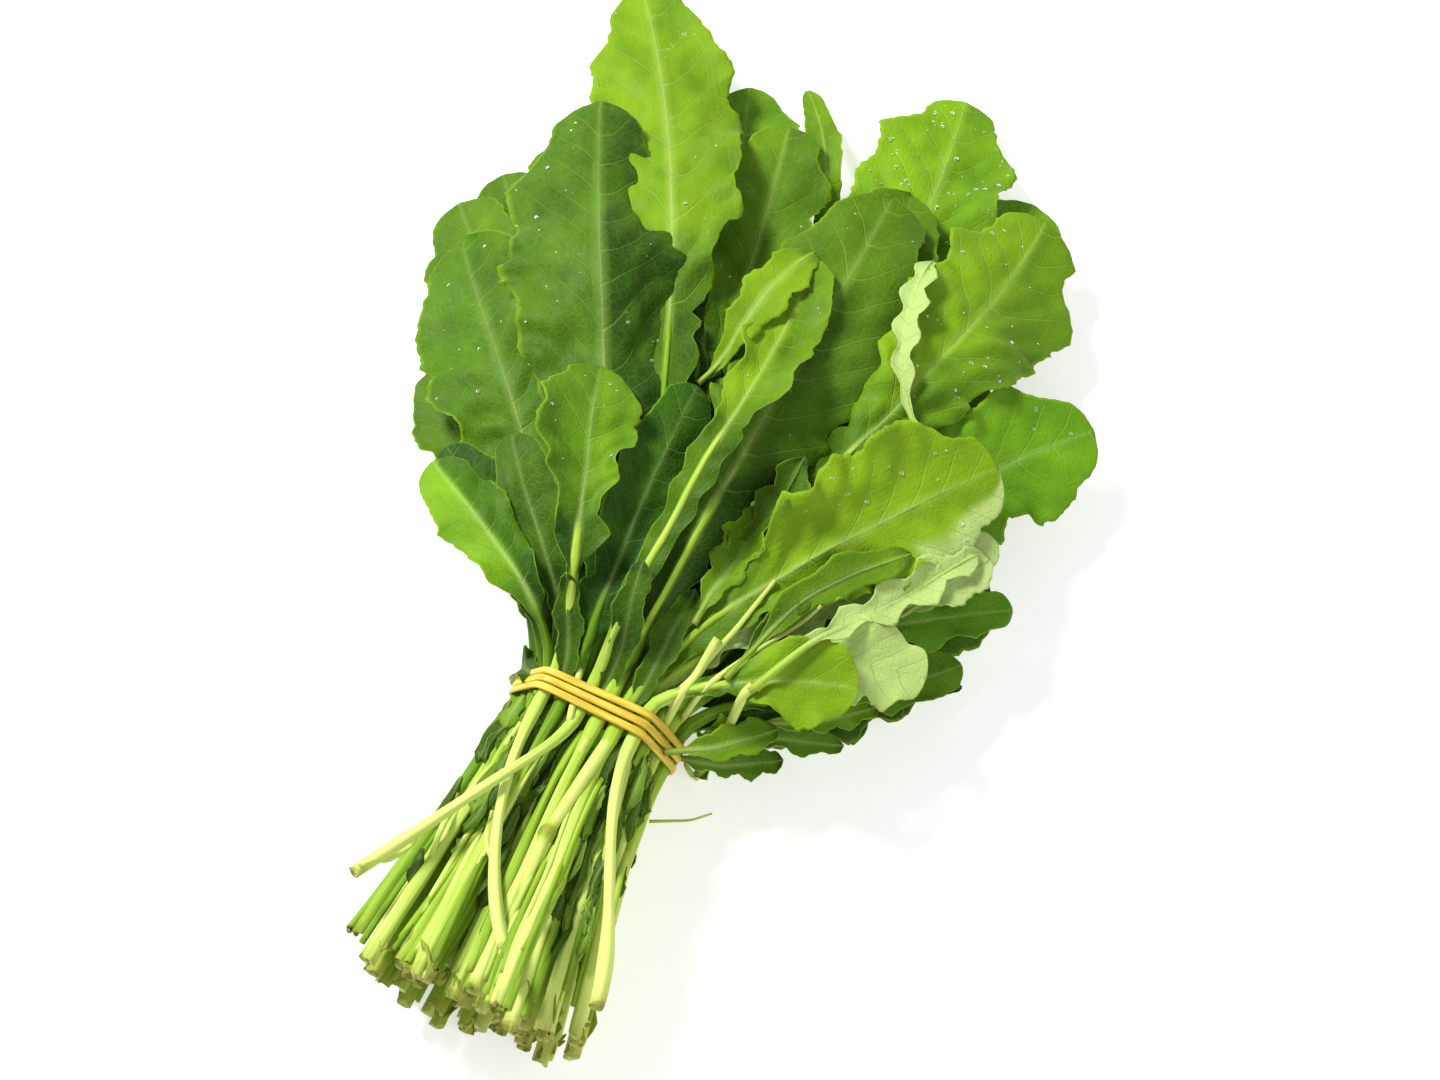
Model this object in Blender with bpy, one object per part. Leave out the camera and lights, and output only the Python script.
"""A bunch of arugula lying on a table: 56 leafy stems held by a rubber band wound three times.

The bunch lies along +Y, its cut ends towards -Y and its leaf tips towards +Y. The origin is
where the band rests on the table, under the middle of the bunch. Lengths here are in
millimetres, and only the last step turns them into metres.
"""
import math
from collections import namedtuple

import bpy
import numpy as np

MM = 0.001

# In the band the stems lie like stacked pipes, row on row up from the table, with the rows
# just far enough apart for two stems to cross over each other.
ROW_COUNTS = (5, 6, 7, 8, 9, 8, 7, 6)
STEM_PITCH = 5.0
ROW_PITCH = 4.6
STEM_RADIUS = (1.7, 2.15)
STEM_TAPER = 0.40
STEM_SIDES = 5
STEM_ANGLES = np.radians([144.0, 72.0, 0.0, -72.0, -144.0])
STRAIGHT = 4.0
LEAST_STALK = 3.0
CUT_LENGTH = 79.0
CUT_SHIFT = 5.0
CUT_SPREAD_X = 1.5
CUT_SPREAD_Z = 1.35
CUT_ROW_SHIFTS = (-1.5, 1.2, -0.8, 1.6, -1.2, 1.4, -1.6, 0.0)
CUT_JITTER_X = 0.9
CUT_JITTER_Y = 4.0
CUT_BOW = 3.0
CUT_OVER_TABLE = 0.4
LEAVING_BELOW = 0.30
LEAVING_ABOVE = 0.16
SEED = 1000

# The rubber band: a flat strip wound three times and laid back over itself at one side.
BAND_TURNS = 3
BAND_WIDTH = 1.5
BAND_THICKNESS = 1.1
BAND_CLEARANCE = 0.3
BAND_GAP_LEFT = 1.95
BAND_GAP_RIGHT = 2.7
BAND_CORNER_STEPS = 3
BAND_LIFT = 1.45
BAND_CROSSING_STEPS = (0.28, 0.42, 0.58, 0.72)
BAND_SHIFT_FROM = 0.35
BAND_SHIFT_OVER = 0.3
FIRST_ROW_Z = BAND_THICKNESS + BAND_CLEARANCE + STEM_RADIUS[1]

# Blades: half the thickness of the sheet, and how far the rib stands below it at the base.
SHEET = 0.35
RIB_DEPTH = 1.0
RIB_TOP = 0.25
EDGE_SWEEP = 0.35
LOBE_GROWTH = 0.75
LOBE_UNEVEN = 0.35
UNEVEN_RATE = 5.0
END_LOBE = 0.2
EDGE_WAVES = (1.8, 2.8)
SIDES_APART = 1.9
ROLL_FROM = 0.4
NORMAL_STEP = 0.004
TIP_STATIONS = (0.93, 0.985)
TIP_HALF = 0.8
ACROSS = np.array([-1.0, -0.5, 0.0, 0.5, 1.0])
PETIOLE_STEPS = (3, 5)
CROSSING_RINGS = 6
RING_CROWDING = 1.35
SHEET_GRID = (64, 25)

# How one leaf rests on the pile below it: the pile's squares, the clearances, and how far
# along the leaf a lift at one place is felt before it and after it.
CELL = 1.5
PILE_X = (-150.0, 150.0)
PILE_Y = (-110.0, 240.0)
GAP = 0.35
STEM_GAP = 0.2
FREE = 8.0
EASE = 6.0
RISE = (-0.10, 0.24)
RISE_REACH = 55.0
KNOT = 1.5
FELT_BEFORE = 28.0
FELT_AFTER = 36.0
FELT_EDGE = 18.0
EDGE_FROM = 0.45
EDGE_FULL = 0.7
EDGE_SHARE = 0.8
EDGE_LIMIT = 0.55
LIFT_BLUR = 3.0
PRESS = 1.05
CLEAR_ENOUGH = 0.03
FIT_ROUNDS = 60
SAMPLES = 10
CURVE_POINTS = 160

# Kinds of blade: lobes a side, how deep the bays between them are, where the undivided end
# begins, the height of the edge's waves, and how the outline swells from its base and closes
# at its tip. An outline is widest where the swelling's share of the two powers lies.
Kind = namedtuple("Kind", "lobes depth terminal wave swell close")
KINDS = {
    "wavy": Kind(5, 0.20, 0.88, 2.2, 0.85, 0.48),
    "broad": Kind(5, 0.17, 0.90, 2.2, 0.72, 0.55),
    "deep": Kind(5, 0.55, 0.62, 1.5, 0.60, 0.42),
    "plain": Kind(3, 0.08, 0.90, 1.2, 0.85, 0.50),
    "simple": Kind(3, 0.26, 0.80, 2.0, 0.90, 0.45),
}

# One leaf: its slot in the band, where its tip lies, blade length and half width, kind of edge,
# how far the blade turns sideways, rolls, cups and droops.
Leaf = namedtuple("Leaf", "row place x y blade half kind bend roll cup droop")

SHOWN_LEAVES = (
    Leaf(4, 0, -83, 69, 68, 13, "wavy", -3, -12, 1, 0.10),
    Leaf(4, 2, -95, 132, 84, 17, "wavy", -8, -10, 2, 0.12),
    Leaf(4, 4, -48, 187, 86, 19, "broad", -7, -6, 3, 0.12),
    Leaf(4, 6, 36, 190, 88, 19, "wavy", -10, 8, 3, 0.14),
    Leaf(4, 8, 75, 55, 44, 8, "wavy", -11, 10, 1, 0.10),
    Leaf(4, 1, -101, 118, 82, 17, "wavy", -8, -14, 2, 0.12),
    Leaf(4, 3, -84, 146, 86, 18, "wavy", -4, -8, 3, 0.12),
    Leaf(4, 5, -32, 190, 56, 5, "plain", -34, 4, 1, 0.10),
    Leaf(4, 7, 54, 90, 70, 14, "deep", 8, 14, -2, 0.10),
    Leaf(5, 1, -92, 104, 98, 22, "broad", -1, -16, 2, 0.12),
    Leaf(5, 3, -30, 174, 80, 17, "wavy", -5, 0, 3, 0.12),
    Leaf(5, 5, 7, 208, 86, 23, "broad", -14, 12, 4, 0.14),
    Leaf(5, 6, 79, 129, 84, 20, "wavy", 12, 16, 2, 0.12),
    Leaf(5, 0, -65, 46, 52, 10, "plain", 0, -20, 2, 0.10),
    Leaf(5, 2, -23, 100, 78, 13, "wavy", 3, 10, 2, 0.10),
    Leaf(5, 4, 9, 168, 80, 16, "wavy", -8, 6, 3, 0.12),
    Leaf(5, 7, 81, 72, 46, 8, "wavy", 14, 16, 1, 0.10),
    Leaf(6, 1, -49, 52, 48, 9, "plain", 5, -18, 2, 0.10),
    Leaf(6, 3, -87, 199, 122, 22, "broad", -16, -8, 3, 0.14),
    Leaf(6, 5, 71, 84, 80, 10, "deep", -1, 16, 2, 0.10),
    Leaf(6, 0, -65, 39, 52, 11, "plain", 2, -14, 2, 0.10),
    Leaf(6, 2, -76, 154, 118, 27, "broad", 1, -8, -5, 0.12),
    Leaf(6, 4, 43, 179, 98, 21, "wavy", -16, 18, -4, 0.14),
    Leaf(6, 6, 70, 43, 40, 12, "wavy", 22, 14, 1, 0.10),
    Leaf(7, 1, -13, 84, 66, 11, "plain", 0, 22, 3, 0.10),
    Leaf(7, 3, 6, 161, 112, 23, "wavy", -4, 6, -6, 0.12),
    Leaf(7, 5, 57, 30, 34, 12, "plain", 13, 14, 1, 0.10),
    Leaf(7, 0, -36, 76, 50, 13, "wavy", -2, 12, 4, 0.10),
    Leaf(7, 4, 63, 101, 84, 20, "wavy", 3, 18, 3, 0.12),
    Leaf(7, 2, -3, 132, 66, 11, "wavy", -9, -10, 3, 0.10),
)

# The lower rows lie hidden under the others, fanned out by rule. Their tips keep to an outline
# that is long in the middle of the fan and short at its sides.
HIDDEN_ROWS = 4
FAN_ANGLES = (-56.0, 64.0)
FAN_LONG = 172.0
FAN_SHORT = 66.0
HIDDEN_REACH = (0.97, 0.80, 0.92, 0.66)
HIDDEN_BLADE = (0.58, 0.62, 0.60, 0.70)
HIDDEN_STALK = 24.0
HIDDEN_HALF = (0.15, 0.19)
HIDDEN_WIDEST = 18.0
HIDDEN_ROLL = 12.0
HEADING_JITTER = 4.0
REACH_JITTER = (0.94, 1.0)
BLADE_JITTER = (0.95, 1.05)
BEND_JITTER = 10.0
ROLL_JITTER = 5.0
HIDDEN_CUP = (0.0, 2.0)
HIDDEN_DROOP = (0.05, 0.10)
FAN_ROUNDING = 75.0

# Three stems of the top row lie across the others below the band: slot, where they are cut,
# and how far they bow sideways.
Crossing = namedtuple("Crossing", "x y bow")
CROSSINGS = {
    (7, 0): Crossing(18.0, -74.0, -30.0),
    (7, 2): Crossing(-31.0, -66.0, 0.0),
    (7, 5): Crossing(36.0, -70.0, 8.0),
}

LEAF_COLOUR = (0.16, 0.34, 0.04, 1.0)
SHADE_STEP = 0.05
LEAF_ROUGHNESS = 0.45
BAND_COLOUR = (0.62, 0.42, 0.06, 1.0)
BAND_ROUGHNESS = 0.6


def clear_scene():
    """Remove whatever the file held before."""
    for item in list(bpy.data.objects):
        bpy.data.objects.remove(item, do_unlink=True)


def slot_x(row, place):
    """Where a stem lies across the band."""
    return (place - (ROW_COUNTS[row] - 1) / 2) * STEM_PITCH


def slot_z(row):
    """How high a row of stems lies in the band."""
    return FIRST_ROW_Z + row * ROW_PITCH


def leaf_rng(row, place):
    """The seeded random draw of one leafy stem."""
    return np.random.default_rng(SEED + 20 * row + place)


def hidden_leaf(row, place):
    """A leaf of the lower rows, its heading spread evenly across the fan."""
    rng = leaf_rng(row, place)
    across = 2 * (place + 0.5) / ROW_COUNTS[row] - 1
    heading = np.interp(across, (-1, 1), FAN_ANGLES)
    heading = math.radians(heading + rng.uniform(-HEADING_JITTER, HEADING_JITTER))
    rounding = math.cos(math.radians(across * FAN_ROUNDING)) ** 2
    reach = FAN_SHORT + (FAN_LONG - FAN_SHORT) * rounding
    reach *= HIDDEN_REACH[row] * rng.uniform(*REACH_JITTER)
    blade = min(reach * HIDDEN_BLADE[row] * rng.uniform(*BLADE_JITTER), reach - HIDDEN_STALK)
    half = min(reach * rng.uniform(*HIDDEN_HALF), HIDDEN_WIDEST)
    roll = HIDDEN_ROLL * across + rng.uniform(-ROLL_JITTER, ROLL_JITTER)
    kind = ("simple", "simple", "deep")[int(rng.integers(3))]
    bend = rng.uniform(-BEND_JITTER, BEND_JITTER)
    return Leaf(row, place, reach * math.sin(heading), reach * math.cos(heading), blade, half,
                kind, bend, roll, rng.uniform(*HIDDEN_CUP), rng.uniform(*HIDDEN_DROOP))


def all_leaves():
    """Every leaf in the order in which they are laid on the pile, lowest row first.

    Of a hidden row every second leaf is laid first, and then those between them.
    """
    hidden = [hidden_leaf(row, place) for row in range(HIDDEN_ROWS) for first in (0, 1)
              for place in range(first, ROW_COUNTS[row], 2)]
    return hidden + list(SHOWN_LEAVES)


def plan_curve(start, end, leaving, bend):
    """A curve seen from above, from the band to one end of a stem.

    It leaves the band along the bunch and arrives turned by bend degrees from the straight
    line, as a cubic Bezier curve does between two points with two handles.
    """
    chord = end - start
    reach = np.hypot(*chord)
    heading = math.atan2(chord[0], chord[1]) + math.radians(bend)
    first = start + np.array([0.0, leaving * reach])
    second = end - reach / 3 * np.array([math.sin(heading), math.cos(heading)])
    t = np.linspace(0, 1, CURVE_POINTS)[:, None]
    return ((1 - t) ** 3 * start + 3 * (1 - t) ** 2 * t * first
            + 3 * (1 - t) * t ** 2 * second + t ** 3 * end)


def lengths_along(points):
    """The distance along a row of points from the first to each."""
    steps = np.hypot(*np.diff(points[:, :2], axis=0).T)
    return np.concatenate([[0.0], np.cumsum(steps)])


def eased(distance):
    """A distance past the band that starts gently, so that a stem leaves the band level."""
    distance = np.maximum(distance, 0)
    return distance ** 2 / (distance + EASE)


def cut_end(leaf, rng):
    """Where a stem is cut below the band, and how far it bows sideways on the way."""
    crossing = CROSSINGS.get((leaf.row, leaf.place))
    if crossing:
        return np.array([crossing.x, crossing.y]), crossing.bow
    x = slot_x(leaf.row, leaf.place) * CUT_SPREAD_X + CUT_SHIFT + CUT_ROW_SHIFTS[leaf.row]
    x += rng.uniform(-CUT_JITTER_X, CUT_JITTER_X)
    y = -CUT_LENGTH + rng.uniform(-CUT_JITTER_Y, CUT_JITTER_Y)
    return np.array([x, y]), rng.uniform(-CUT_BOW, CUT_BOW)


class Stem:
    """The middle line of a leafy stem, from its cut end through the band to the leaf's tip.

    Distances along it are measured seen from above, from the middle of the band, and are
    below zero towards the cut end.
    """

    def __init__(self, leaf):
        rng = leaf_rng(leaf.row, leaf.place)
        self.leaf = leaf
        self.kind = KINDS[leaf.kind]
        self.radius = rng.uniform(*STEM_RADIUS)
        self.phase = rng.uniform(0, 2 * math.pi)
        self.waves = rng.uniform(*EDGE_WAVES)
        x = slot_x(leaf.row, leaf.place)
        end, bow = cut_end(leaf, rng)
        tip = np.array([leaf.x, leaf.y])
        below = plan_curve(np.array([x, -STRAIGHT]), end, -LEAVING_BELOW, bow)
        above = plan_curve(np.array([x, STRAIGHT]), tip, LEAVING_ABOVE, leaf.bend)
        self.plan = np.vstack([below[::-1], above])
        along = lengths_along(self.plan)
        self.along = along - along[len(below) - 1] - STRAIGHT
        self.cut, self.tip = self.along[0], self.along[-1]
        self.base = max(self.tip - leaf.blade, STRAIGHT + LEAST_STALK)
        self.blade = self.tip - self.base
        self.knots = np.arange(self.cut, self.tip + KNOT, KNOT)
        self.lift = np.zeros(len(self.knots))
        self.edge_lift = {-1: np.zeros(len(self.knots)), 1: np.zeros(len(self.knots))}

    def rise(self):
        """The slope above the band, which grows from row to row."""
        return RISE[0] + self.leaf.row / (len(ROW_COUNTS) - 1) * (RISE[1] - RISE[0])

    def fall(self):
        """The slope below the band, which spreads the rows towards the cut ends."""
        low = slot_z(self.leaf.row) - FIRST_ROW_Z
        end = self.radius + CUT_OVER_TABLE + low * CUT_SPREAD_Z
        return (end - slot_z(self.leaf.row)) / eased(CUT_LENGTH)

    def height(self, s):
        """The height of the middle line over the table."""
        above = RISE_REACH * (1 - np.exp(-eased(s - STRAIGHT) / RISE_REACH))
        slope = self.rise() * above + self.fall() * eased(-s - STRAIGHT)
        droop = self.leaf.droop * np.maximum(s - STRAIGHT, 0) ** 2 / self.tip
        return slot_z(self.leaf.row) + slope - droop + np.interp(s, self.knots, self.lift)

    def frame(self, s):
        """The point at s, with the directions along the stem, to its right and up from it."""
        x = np.interp(s, self.along, self.plan[:, 0])
        y = np.interp(s, self.along, self.plan[:, 1])
        point = np.stack([x, y, self.height(s)], axis=-1)
        line = np.column_stack([self.plan, self.height(self.along)])
        slope = np.gradient(line, self.along, axis=0)
        ahead = np.stack([np.interp(s, self.along, slope[:, k]) for k in range(3)], axis=-1)
        ahead /= np.linalg.norm(ahead, axis=-1, keepdims=True)
        right = np.stack([ahead[..., 1], -ahead[..., 0], np.zeros_like(x)], axis=-1)
        right /= np.linalg.norm(right, axis=-1, keepdims=True)
        return point, ahead, right, np.cross(right, ahead)

    def stem_radius(self, s):
        """The stem's radius, full below and in the band, thinner towards the blade."""
        past = np.clip((s - STRAIGHT) / max(self.base - STRAIGHT, 1.0), 0, 1)
        return self.radius * (1 - STEM_TAPER * past)

    def half_width(self, t):
        """Half the blade's width: a spoon-shaped outline, pulled in between its lobes."""
        swell, close = self.kind.swell, self.kind.close
        widest = swell / (swell + close)
        outline = (t / widest) ** swell * (np.maximum(1 - t, 0) / (1 - widest)) ** close
        end_lobe = np.clip((t - self.kind.terminal) / END_LOBE, 0, 1)
        phase = self.kind.lobes * t ** LOBE_GROWTH
        uneven = 1 + LOBE_UNEVEN * np.sin(UNEVEN_RATE * t + self.phase)
        bay = 0.5 - 0.5 * np.cos(2 * math.pi * phase)
        pulled = self.kind.depth * (1 - end_lobe) * uneven * bay
        return np.maximum(self.leaf.half * outline * (1 - pulled), TIP_HALF)

    def sheet(self, t, v):
        """A point of the blade's middle sheet, t from base to tip and v from edge to edge.

        Each cross line is a shallow trough or roof that rolls about the rib, its edges waved
        and swept towards the tip.
        """
        half = self.half_width(t)
        out = half * np.abs(v)
        s = np.minimum(self.base + self.blade * t + EDGE_SWEEP * out * (1 - t), self.tip)
        turn = 2 * math.pi * self.waves * t + self.phase + SIDES_APART * (v > 0)
        full = np.sin(math.pi * np.clip(t, 0, 1) ** 0.8)
        held = np.where(v < 0, np.interp(s, self.knots, self.edge_lift[-1]),
                        np.interp(s, self.knots, self.edge_lift[1]))
        curl = (self.leaf.cup + self.kind.wave * np.sin(turn)) * full * v ** 2
        lift = curl + held * np.abs(v)
        roll = math.radians(self.leaf.roll) * np.clip(t / ROLL_FROM, 0, 1)
        point, _, right, up = self.frame(s)
        sideways = half * v * np.cos(roll) - lift * np.sin(roll)
        upward = -half * v * np.sin(roll) + lift * np.cos(roll)
        return point + right * sideways[..., None] + up * upward[..., None]

    def sheet_normal(self, t, v):
        """The direction straight out of the sheet's upper face."""
        low, high = np.maximum(t - NORMAL_STEP, 0), np.minimum(t + NORMAL_STEP, 1)
        along = self.sheet(high, v) - self.sheet(low, v)
        across = self.sheet(t, v + NORMAL_STEP) - self.sheet(t, v - NORMAL_STEP)
        normal = np.cross(across, along)
        return normal / np.linalg.norm(normal, axis=-1, keepdims=True)

    def stations(self):
        """Where the blade's cross sections stand: at lobes, between lobes and round the tip."""
        steps = 2 * self.kind.lobes
        even = (np.arange(1, steps) / steps) ** (1 / LOBE_GROWTH)
        return np.concatenate([even, TIP_STATIONS, [1.0]])

    def ring_places(self):
        """Where the stem's rings stand, closer together where it bends next to the band."""
        crosses = (self.leaf.row, self.leaf.place) in CROSSINGS
        steps = CROSSING_RINGS if crosses else PETIOLE_STEPS[0]
        below = np.linspace(0, 1, steps + 1) ** RING_CROWDING
        above = np.linspace(0, 1, PETIOLE_STEPS[1] + 1) ** RING_CROWDING
        return np.concatenate([-STRAIGHT + (self.cut + STRAIGHT) * below[::-1],
                               STRAIGHT + (self.base - STRAIGHT) * above])

    def smooth_sheet(self):
        """Points of the blade's two faces without facets, and their places along and across."""
        t, v = np.meshgrid(np.linspace(0, 1, SHEET_GRID[0]), np.linspace(-1, 1, SHEET_GRID[1]),
                           indexing="ij")
        middle = self.sheet(t, v).reshape(-1, 3)
        place = np.column_stack([(self.base + self.blade * t).ravel(), v.ravel()])
        return middle, place

    def stem_rings(self):
        """Rings round the stem from its cut end to the base of the blade."""
        s = self.ring_places()
        point, _, right, up = self.frame(s)
        radius = self.stem_radius(s)[:, None, None]
        side, top = np.cos(STEM_ANGLES)[None, :, None], np.sin(STEM_ANGLES)[None, :, None]
        rings = point[:, None] + radius * (side * right[:, None] + top * up[:, None])
        return rings, np.repeat(s[:, None], STEM_SIDES, axis=1)

    def blade_rings(self):
        """Rings round the blade: its upper face left to right, then its lower face back."""
        t = np.repeat(self.stations()[:, None], len(ACROSS), axis=1)
        v = np.repeat(ACROSS[None], len(t), axis=0)
        middle, normal = self.sheet(t, v), self.sheet_normal(t, v)
        rib = (1 - np.abs(v)) ** 2 * (1 - t)
        upper = middle + normal * (SHEET + RIB_TOP * rib)[..., None]
        lower = middle - normal * (SHEET + RIB_DEPTH * rib)[..., None]
        s = self.base + self.blade * t
        return np.concatenate([upper, lower[:, ::-1]], axis=1), np.concatenate([s, s], axis=1)


def quad(a, b, c, d, first):
    """Two triangles over four corners, cut from a to c, or from b to d."""
    return [(a, b, c), (a, c, d)] if first else [(a, b, d), (b, c, d)]


def stem_faces(rings):
    """Triangles round the stem, with the flat cut end."""
    faces = [(0, k + 1, k) for k in range(1, STEM_SIDES - 1)]
    for ring in range(rings - 1):
        at = ring * STEM_SIDES
        for k in range(STEM_SIDES):
            n = (k + 1) % STEM_SIDES
            faces += quad(at + k, at + n, at + STEM_SIDES + n, at + STEM_SIDES + k, True)
    return faces


def blade_faces(last_stem, first, rings):
    """Triangles from the stem's last ring to the tip, cut alike on both faces of the sheet."""
    around = 2 * len(ACROSS)
    faces = []
    for k in range(STEM_SIDES):
        near, far = last_stem + k, last_stem + (k + 1) % STEM_SIDES
        faces.append((near, first + 2 * k + 1, first + 2 * k))
        faces += quad(near, far, first + (2 * k + 2) % around, first + 2 * k + 1, k < 1)
    for ring in range(rings - 1):
        at = first + ring * around
        for k in range(around):
            n = (k + 1) % around
            cut = k in (0, 1, 4, 5, 6, 9)
            faces += quad(at + k, at + n, at + around + n, at + around + k, cut)
    end = first + (rings - 1) * around
    for k in range(len(ACROSS) - 1):
        faces += quad(end + k, end + k + 1, end + 8 - k, end + 9 - k, True)
    return faces


def leaf_mesh(stem):
    """The points and triangles of a leafy stem, the place of each point along and across it,
    and how many of the triangles belong to the stem alone."""
    stem_points, stem_s = stem.stem_rings()
    blade_points, blade_s = stem.blade_rings()
    points = np.concatenate([stem_points.reshape(-1, 3), blade_points.reshape(-1, 3)])
    across = np.tile(np.concatenate([ACROSS, ACROSS[::-1]]), len(blade_points))
    places = np.column_stack([np.concatenate([stem_s.ravel(), blade_s.ravel()]),
                              np.concatenate([np.zeros(stem_s.size), across])])
    faces = stem_faces(len(stem_points))
    on_stem = len(faces)
    last = (len(stem_points) - 1) * STEM_SIDES
    faces += blade_faces(last, last + STEM_SIDES, len(blade_points))
    return points, np.array(faces), places, on_stem


def triangle_weights():
    """Weights of a triangle's corners for evenly spread sample points."""
    return np.array([(i, j, SAMPLES - i - j) for i in range(SAMPLES + 1)
                     for j in range(SAMPLES + 1 - i)]) / SAMPLES


class Pile:
    """How high the leaves already laid reach over each small square of the table."""

    def __init__(self):
        size = (int((PILE_X[1] - PILE_X[0]) / CELL), int((PILE_Y[1] - PILE_Y[0]) / CELL))
        self.any_top = np.zeros(size)
        self.blade_top = np.zeros(size)
        self.stems = np.zeros((0, 4))
        self.weights = triangle_weights()

    def samples(self, values, faces):
        """Values at the corners of the faces, spread over the faces."""
        return np.einsum("wk,fk...->fw...", self.weights, values[faces]).reshape(
            -1, *values.shape[1:])

    def cell(self, points):
        """The square that each point stands over."""
        i = ((points[:, 0] - PILE_X[0]) / CELL).astype(int)
        j = ((points[:, 1] - PILE_Y[0]) / CELL).astype(int)
        return i, j

    def widened(self, tops):
        """The heights with each square raised to its highest neighbour."""
        padded = np.pad(tops, 1, mode="edge")
        shifted = [padded[i:i + tops.shape[0], j:j + tops.shape[1]]
                   for i in range(3) for j in range(3)]
        return np.maximum.reduce(shifted)

    def stem_line(self, stem):
        """Points down the middle of a stem with their radius, and their places along it."""
        s = np.arange(stem.cut, stem.base, CELL)
        rings = stem.ring_places()
        corners = stem.frame(rings)[0]
        facets = np.column_stack([np.interp(s, rings, corners[:, k]) for k in range(3)])
        middle = np.vstack([stem.frame(s)[0], facets])
        s = np.concatenate([s, s])
        line = np.column_stack([middle, stem.stem_radius(s)])
        return line, np.column_stack([s, np.zeros(len(s))])

    def stem_lack(self, stem):
        """How much too low the stem's points lie over the stems already there."""
        line, places = self.stem_line(stem)
        if not len(self.stems):
            return np.zeros(len(line)), places
        away = np.hypot(line[:, None, 0] - self.stems[None, :, 0],
                        line[:, None, 1] - self.stems[None, :, 1])
        touch = line[:, None, 3] + self.stems[None, :, 3] + STEM_GAP
        over = self.stems[None, :, 2] + np.sqrt(np.maximum(touch ** 2 - away ** 2, 0))
        lack = np.where(away < touch, over - line[:, None, 2], 0)
        return lack.max(axis=1), places

    def lacks(self, stem, points, faces, places, on_stem, tops):
        """How much too low the leaf lies at sample points, and where along and across it."""
        middle, where = stem.smooth_sheet()
        under = tops[1][self.cell(middle)]
        found = [self.stem_lack(stem), (under + (GAP + SHEET) * (under > 0) - middle[:, 2], where)]
        for part, top in ((faces[:on_stem], tops[0]), (faces[on_stem:], tops[1])):
            spots = self.samples(points, part)
            under = top[self.cell(spots)]
            found.append((under + GAP * (under > 0) - spots[:, 2], self.samples(places, part)))
        return (np.concatenate([lack for lack, _ in found]),
                np.concatenate([place for _, place in found]))

    def lay(self, stem):
        """Lift the leaf where it would sink into the pile, then add it to the pile."""
        tops = (self.widened(self.blade_top), self.widened(self.any_top))
        for _ in range(FIT_ROUNDS):
            points, faces, places, on_stem = leaf_mesh(stem)
            lack, where = self.lacks(stem, points, faces, places, on_stem, tops)
            outside = np.abs(where[:, 0]) > FREE
            if lack[outside].max() < CLEAR_ENOUGH:
                break
            raise_leaf(stem, lack[outside], where[outside])
        smooth = stem.smooth_sheet()[0] + np.array([0, 0, SHEET])
        blade = np.vstack([self.samples(points, faces[on_stem:]), smooth])
        whole = np.vstack([self.samples(points, faces[:on_stem]), blade])
        np.maximum.at(self.blade_top, self.cell(blade), blade[:, 2])
        np.maximum.at(self.any_top, self.cell(whole), whole[:, 2])
        self.stems = np.vstack([self.stems, self.stem_line(stem)[0]])


def smooth_step(x):
    """From 0 to 1 with level ends."""
    x = np.clip(x, 0, 1)
    return x * x * (3 - 2 * x)


def felt(knots, before, after):
    """How much of a lift at each knot (column) is felt at each other knot (row).

    Away from its place a lift fades, and nothing is felt in the band or past it.
    """
    at, to = knots[None, :], knots[:, None]
    side = np.sign(at)
    away = (to - at) * side
    room = np.maximum(np.abs(at) - STRAIGHT, KNOT)
    inner = smooth_step(1 + away / np.minimum(before, room))
    outer = smooth_step(1 - away / after)
    share = np.where(away < 0, inner, outer)
    return np.where((side * to > STRAIGHT) & (np.abs(at) > STRAIGHT), share, 0)


def blurred(values):
    """The values along a leaf smoothed over a few millimetres."""
    reach = int(3 * LIFT_BLUR / KNOT)
    weights = np.exp(-0.5 * (np.arange(-reach, reach + 1) * KNOT / LIFT_BLUR) ** 2)
    padded = np.pad(values, reach, mode="edge")
    return np.convolve(padded, weights / weights.sum(), mode="valid")


def spread(stem, knot, lack, before, after):
    """The lift along the whole leaf that makes up for what is lacking at some knots."""
    need = np.zeros(len(stem.knots))
    np.maximum.at(need, knot, lack)
    return (felt(stem.knots, before, after) * need[None]).max(axis=1)


def raise_leaf(stem, lack, where):
    """Lift the middle line where the leaf is too low, and then an edge that is still too low."""
    v = where[:, 1]
    knot = np.clip(((where[:, 0] - stem.cut) / KNOT).round().astype(int), 0,
                   len(stem.knots) - 1)
    lack = np.maximum(lack, 0) * PRESS
    middle = spread(stem, knot, lack * (np.abs(v) <= EDGE_FROM), FELT_BEFORE, FELT_AFTER)
    left_over = np.maximum(lack - middle[knot], 0)
    shared = np.zeros(len(lack))
    for side in (-1, 1):
        on_edge = side * v > EDGE_FROM
        spare = np.clip(1 - stem.edge_lift[side][knot] / (EDGE_LIMIT * stem.leaf.half), 0, 1)
        share = EDGE_SHARE * spare * on_edge
        shared += left_over * (on_edge - share)
        bent = left_over * share / np.maximum(np.abs(v), EDGE_FULL)
        stem.edge_lift[side] += blurred(spread(stem, knot, bent, FELT_EDGE, FELT_EDGE))
    middle = np.maximum(middle, spread(stem, knot, shared, FELT_BEFORE, FELT_AFTER))
    fade = smooth_step((np.abs(stem.knots) - STRAIGHT) / (2 * LIFT_BLUR))
    stem.lift += blurred(middle) * fade


def make_material(name, colour, roughness):
    """A plain finish."""
    material = bpy.data.materials.new(name)
    material.use_nodes = True
    shader = material.node_tree.nodes["Principled BSDF"]
    shader.inputs["Base Color"].default_value = colour
    shader.inputs["Roughness"].default_value = roughness
    return material


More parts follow.
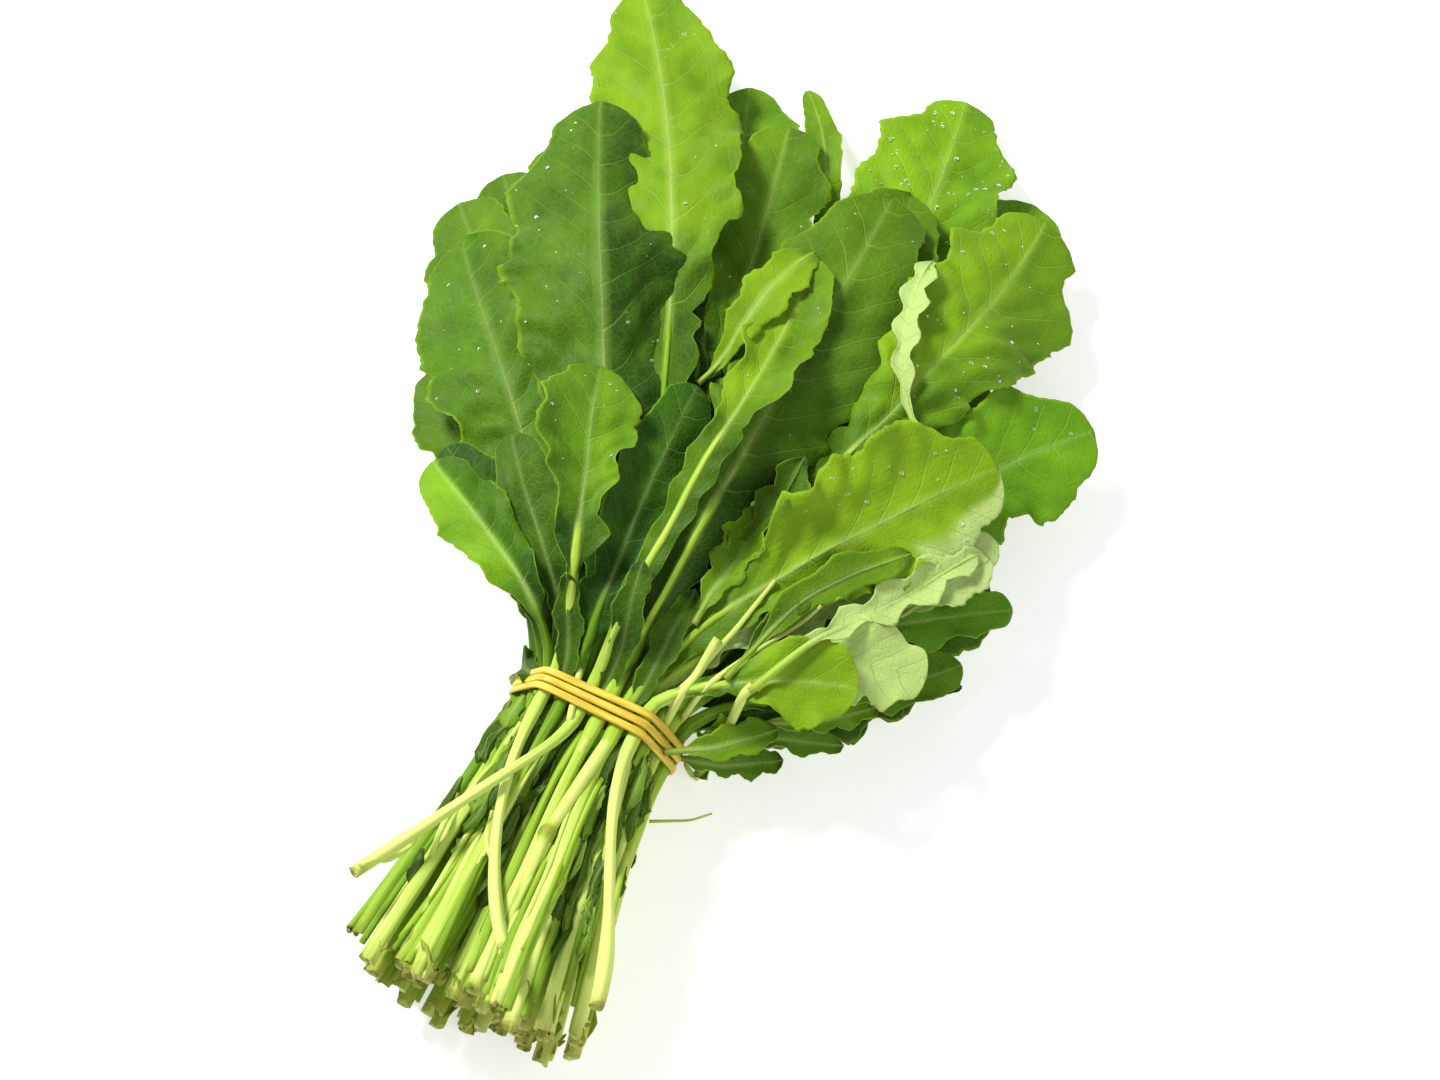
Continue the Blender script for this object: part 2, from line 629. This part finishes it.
def make_object(name, points, faces, material):
    """A mesh object in metres."""
    mesh = bpy.data.meshes.new(name)
    mesh.from_pydata((np.asarray(points) * MM).tolist(), [], [list(map(int, f)) for f in faces])
    mesh.materials.append(material)
    mesh.update()
    item = bpy.data.objects.new(name, mesh)
    bpy.context.scene.collection.objects.link(item)
    return item


def make_leaves():
    """Lay every leafy stem on the pile and make its object."""
    pile = Pile()
    for leaf in all_leaves():
        stem = Stem(leaf)
        pile.lay(stem)
        points, faces, _, _ = leaf_mesh(stem)
        shade = 1 + SHADE_STEP * (leaf.row - 4)
        colour = tuple(shade * c for c in LEAF_COLOUR[:3]) + (1.0,)
        name = f"leafy_stem_{leaf.row}_{leaf.place}"
        make_object(name, points, faces, make_material(name, colour, LEAF_ROUGHNESS))


def band_corners():
    """The six corner stems that the band bends round, and where it faces before and after."""
    widest = ROW_COUNTS.index(max(ROW_COUNTS))
    last = len(ROW_COUNTS) - 1
    rows = ((0, -1), (0, 1), (widest, 1), (last, 1), (last, -1), (widest, -1))
    spots = [np.array([side * (ROW_COUNTS[row] - 1) / 2 * STEM_PITCH, slot_z(row)])
             for row, side in rows]
    corners = []
    for k, spot in enumerate(spots):
        before, after = spot - spots[k - 1], spots[(k + 1) % len(spots)] - spot
        start = math.atan2(-before[0], before[1])
        turn = (math.atan2(-after[0], after[1]) - start) % (2 * math.pi)
        corners.append((spot, start, start + turn))
    return corners


def max_slot_x():
    """How far from the middle the outermost stems lie."""
    return (max(ROW_COUNTS) - 1) / 2 * STEM_PITCH


def band_turn():
    """One turn round the stems: place, facing, and progress along the crossing side."""
    away = STEM_RADIUS[1] + BAND_CLEARANCE + BAND_THICKNESS / 2
    turn = []
    corners = band_corners()
    for spot, start, end in corners:
        for angle in np.linspace(start, end, BAND_CORNER_STEPS + 1):
            turn.append((spot + away * np.array([math.cos(angle), math.sin(angle)]), angle, None))
    first, last, facing = turn[0][0], turn[-1][0], corners[0][1]
    for progress in BAND_CROSSING_STEPS:
        turn.append((last + (first - last) * progress, facing, progress))
    return turn


def band_strands():
    """The band's middle line over all turns: position, facing, and the strand it lies in."""
    line = []
    for number in range(BAND_TURNS):
        crossing_back = number == BAND_TURNS - 1
        for (x, z), angle, progress in band_turn():
            shift = (progress or 0.0) - BAND_SHIFT_FROM
            shift = min(max(shift / BAND_SHIFT_OVER, 0), 1)
            target = 0 if crossing_back else number + 1
            strand = number + (target - number) * shift
            lift = BAND_LIFT if crossing_back and progress is not None else 0.0
            share = x / max_slot_x() / 2 + 0.5
            gap = BAND_GAP_LEFT + (BAND_GAP_RIGHT - BAND_GAP_LEFT) * min(max(share, 0), 1)
            y = (strand - (BAND_TURNS - 1) / 2) * gap
            line.append((x + lift * math.cos(angle), y, z + lift * math.sin(angle), angle))
    return line


def make_band():
    """Sweep the band's flat section along its turns and join the last point to the first."""
    line = band_strands()
    points = []
    for x, y, z, angle in line:
        for across, out in ((-1, 1), (1, 1), (1, -1), (-1, -1)):
            reach = out * BAND_THICKNESS / 2
            points.append((x + reach * math.cos(angle), y + across * BAND_WIDTH / 2,
                           z + reach * math.sin(angle)))
    faces = []
    for ring in range(len(line)):
        at, after = 4 * ring, 4 * ((ring + 1) % len(line))
        for k in range(4):
            n = (k + 1) % 4
            faces += quad(at + k, at + n, after + n, after + k, True)
    make_object("rubber_band", points, faces,
                make_material("rubber_band", BAND_COLOUR, BAND_ROUGHNESS))


clear_scene()
make_leaves()
make_band()
